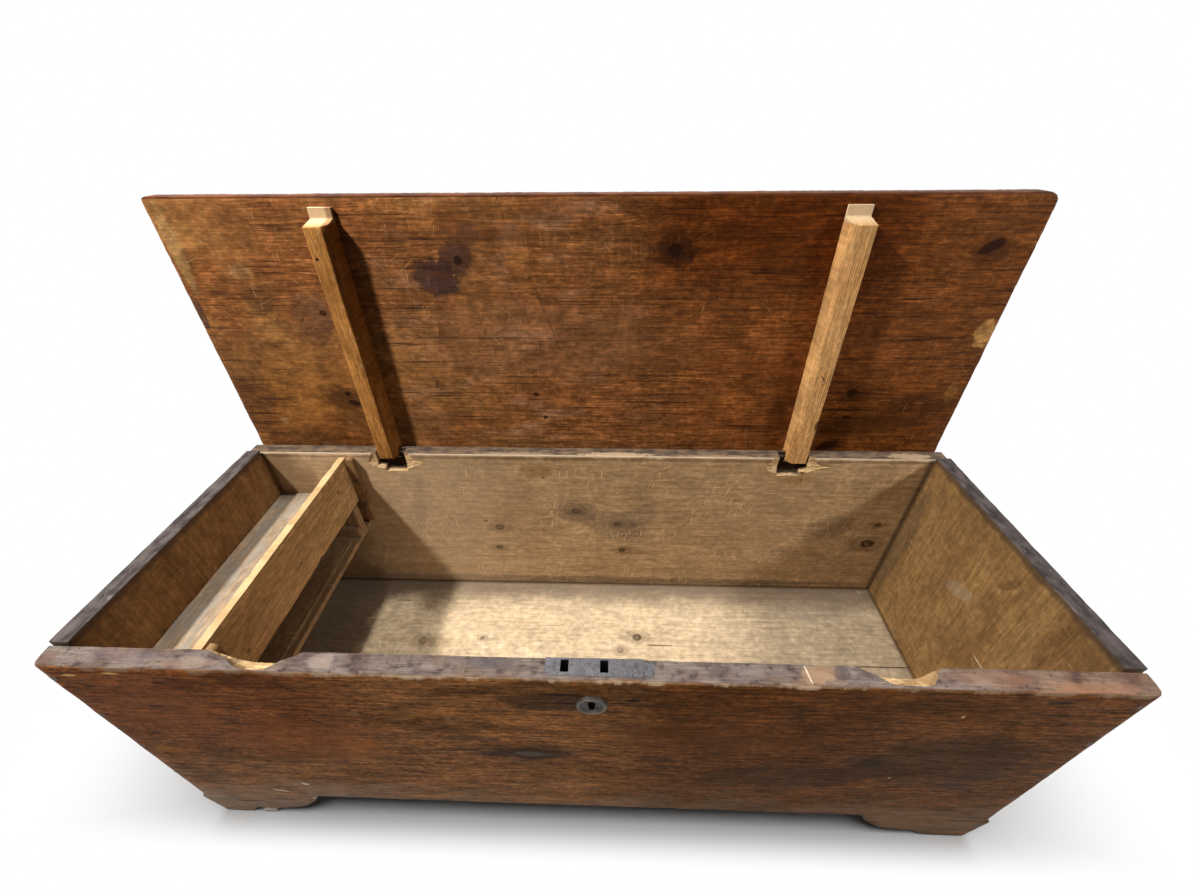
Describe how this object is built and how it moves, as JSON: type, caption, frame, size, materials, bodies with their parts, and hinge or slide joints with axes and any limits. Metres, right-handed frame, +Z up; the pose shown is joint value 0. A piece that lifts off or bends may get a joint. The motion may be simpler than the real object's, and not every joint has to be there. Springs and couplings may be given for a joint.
{
  "type": "blanket chest",
  "caption": "Long pine blanket chest on sawn bracket feet, its battened lid standing open over a till, an open storage well and a let-in lock with a round escutcheon.",
  "frame": {"origin": "middle of the whole outline, open lid included, on the floor", "axes": "+X along the chest to the right, +Y from its front to its back, +Z up"},
  "size_m": [1.12, 0.4128, 0.7972],
  "materials": {
    "aged_pine": "old worn red-brown stain outside, bare yellowed pine inside",
    "till_pine": "bare planed pine, yellowed",
    "fresh_pine": "newly planed bare pine",
    "iron": "dull forged iron",
    "dark_brass": "tarnished nearly black"
  },
  "bodies": {
    "carcass": {"front_board": "aged_pine", "back_board": "aged_pine", "left_end_board": "aged_pine", "right_end_board": "aged_pine", "front_bottom_board": "aged_pine", "back_bottom_board": "aged_pine", "pieced_front_foot": "aged_pine", "till_side": "till_pine", "till_tray_bottom": "till_pine", "till_pocket_bottom": "till_pine", "till_pocket_back_wall": "till_pine", "till_pocket_front_wall": "till_pine", "back_pocket_runner": "till_pine", "front_pocket_runner": "till_pine", "back_till_cleat": "till_pine", "front_till_cleat": "till_pine", "front_nails": "iron", "back_nails": "iron", "bottom_board_nails": "iron", "pieced_foot_nails": "iron", "till_cleat_nails": "iron", "lock_plate": "iron", "lock_case": "iron", "bolt_guide_pins": "iron", "lock_drill_pin": "iron", "lock_screws": "iron", "lock_side_tab": "iron", "left_hinge_pin": "iron", "right_hinge_pin": "iron", "escutcheon": "dark_brass", "escutcheon_pins": "dark_brass"},
    "lid": {"lid_board": "aged_pine", "left_batten": "fresh_pine", "right_batten": "fresh_pine", "left_batten_nails": "iron", "right_batten_nails": "iron"},
    "bolt": {"lock_bolt": "iron"}
  },
  "joints": [
    {"name": "lid_hinge", "type": "hinge", "parent": "carcass", "child": "lid", "pos_m": [0, 0.16205, 0.4132], "axis": [1, 0, 0], "range_deg": [0, 91.17]},
    {"name": "bolt_slide", "type": "slide", "parent": "carcass", "child": "bolt", "axis": [-1, 0, 0], "range_m": [0, 0.008]}
  ]
}
